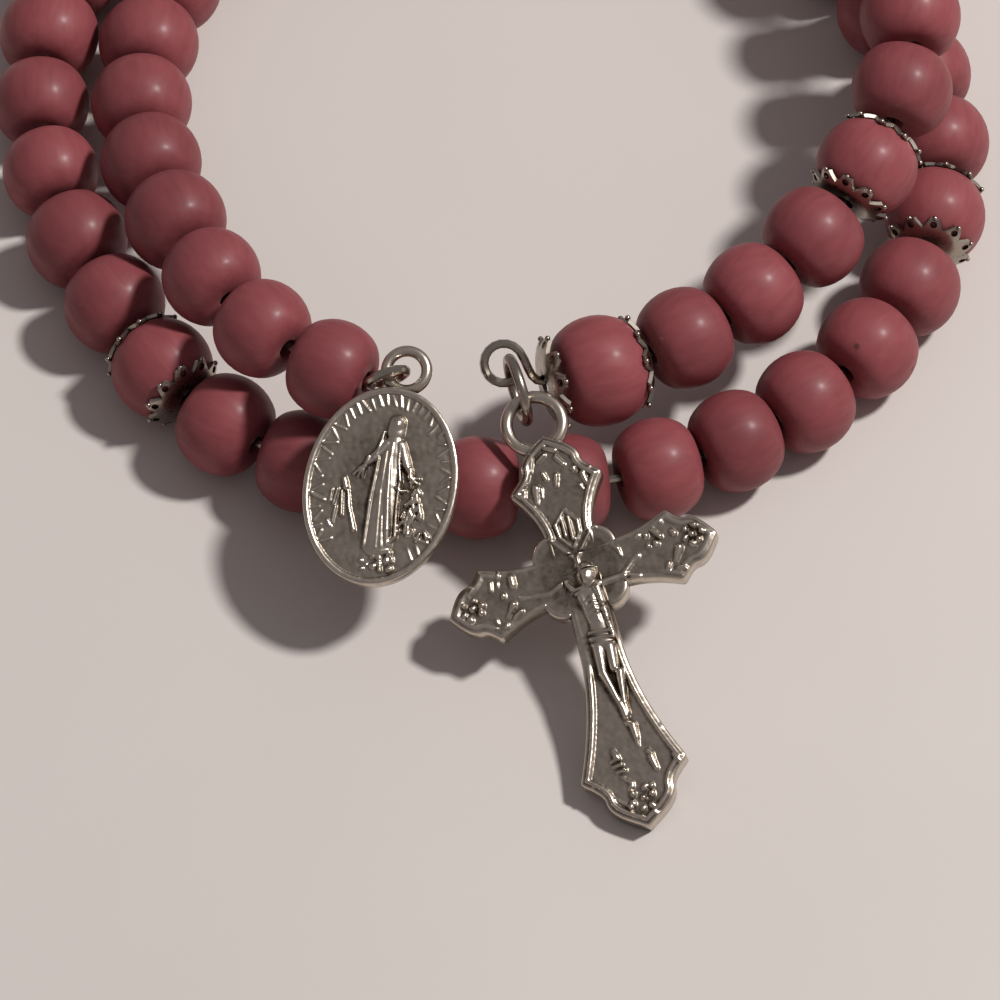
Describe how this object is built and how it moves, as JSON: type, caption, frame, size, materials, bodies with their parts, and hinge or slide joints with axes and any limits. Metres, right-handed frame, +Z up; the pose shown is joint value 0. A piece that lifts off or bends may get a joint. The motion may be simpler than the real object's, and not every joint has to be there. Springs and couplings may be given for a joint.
{
  "type": "beaded bracelet",
  "caption": "Coiled bracelet of red-brown wooden beads on spring wire, with pierced silver bead caps, a cast crucifix on a jump ring and a small oval medal.",
  "frame": {"origin": "middle of the bounding box's bottom, on the surface that the bracelet lies on", "axes": "+Z up, -Y towards the viewer and the hanging crucifix, +X to the viewer's right"},
  "size_m": [0.078, 0.105, 0.017],
  "materials": {
    "wood": "matte",
    "metal": "satin",
    "wire": "satin"
  },
  "bodies": {
    "root": {"memory_wire": "wire", "plain_beads_upper": "wood", "plain_beads_lower": "wood", "marker_bead_1": "wood", "marker_bead_2": "wood", "marker_bead_3": "wood", "marker_bead_4": "wood", "marker_bead_5": "wood", "marker_bead_6": "wood", "bead_cap_1a": "metal", "bead_cap_1b": "metal", "bead_cap_2a": "metal", "bead_cap_2b": "metal", "bead_cap_3a": "metal", "bead_cap_3b": "metal", "bead_cap_4a": "metal", "bead_cap_4b": "metal", "bead_cap_5a": "metal", "bead_cap_5b": "metal", "bead_cap_6a": "metal", "bead_cap_6b": "metal", "jump_ring": "metal", "crucifix": "metal", "medal": "metal"}
  },
  "joints": []
}
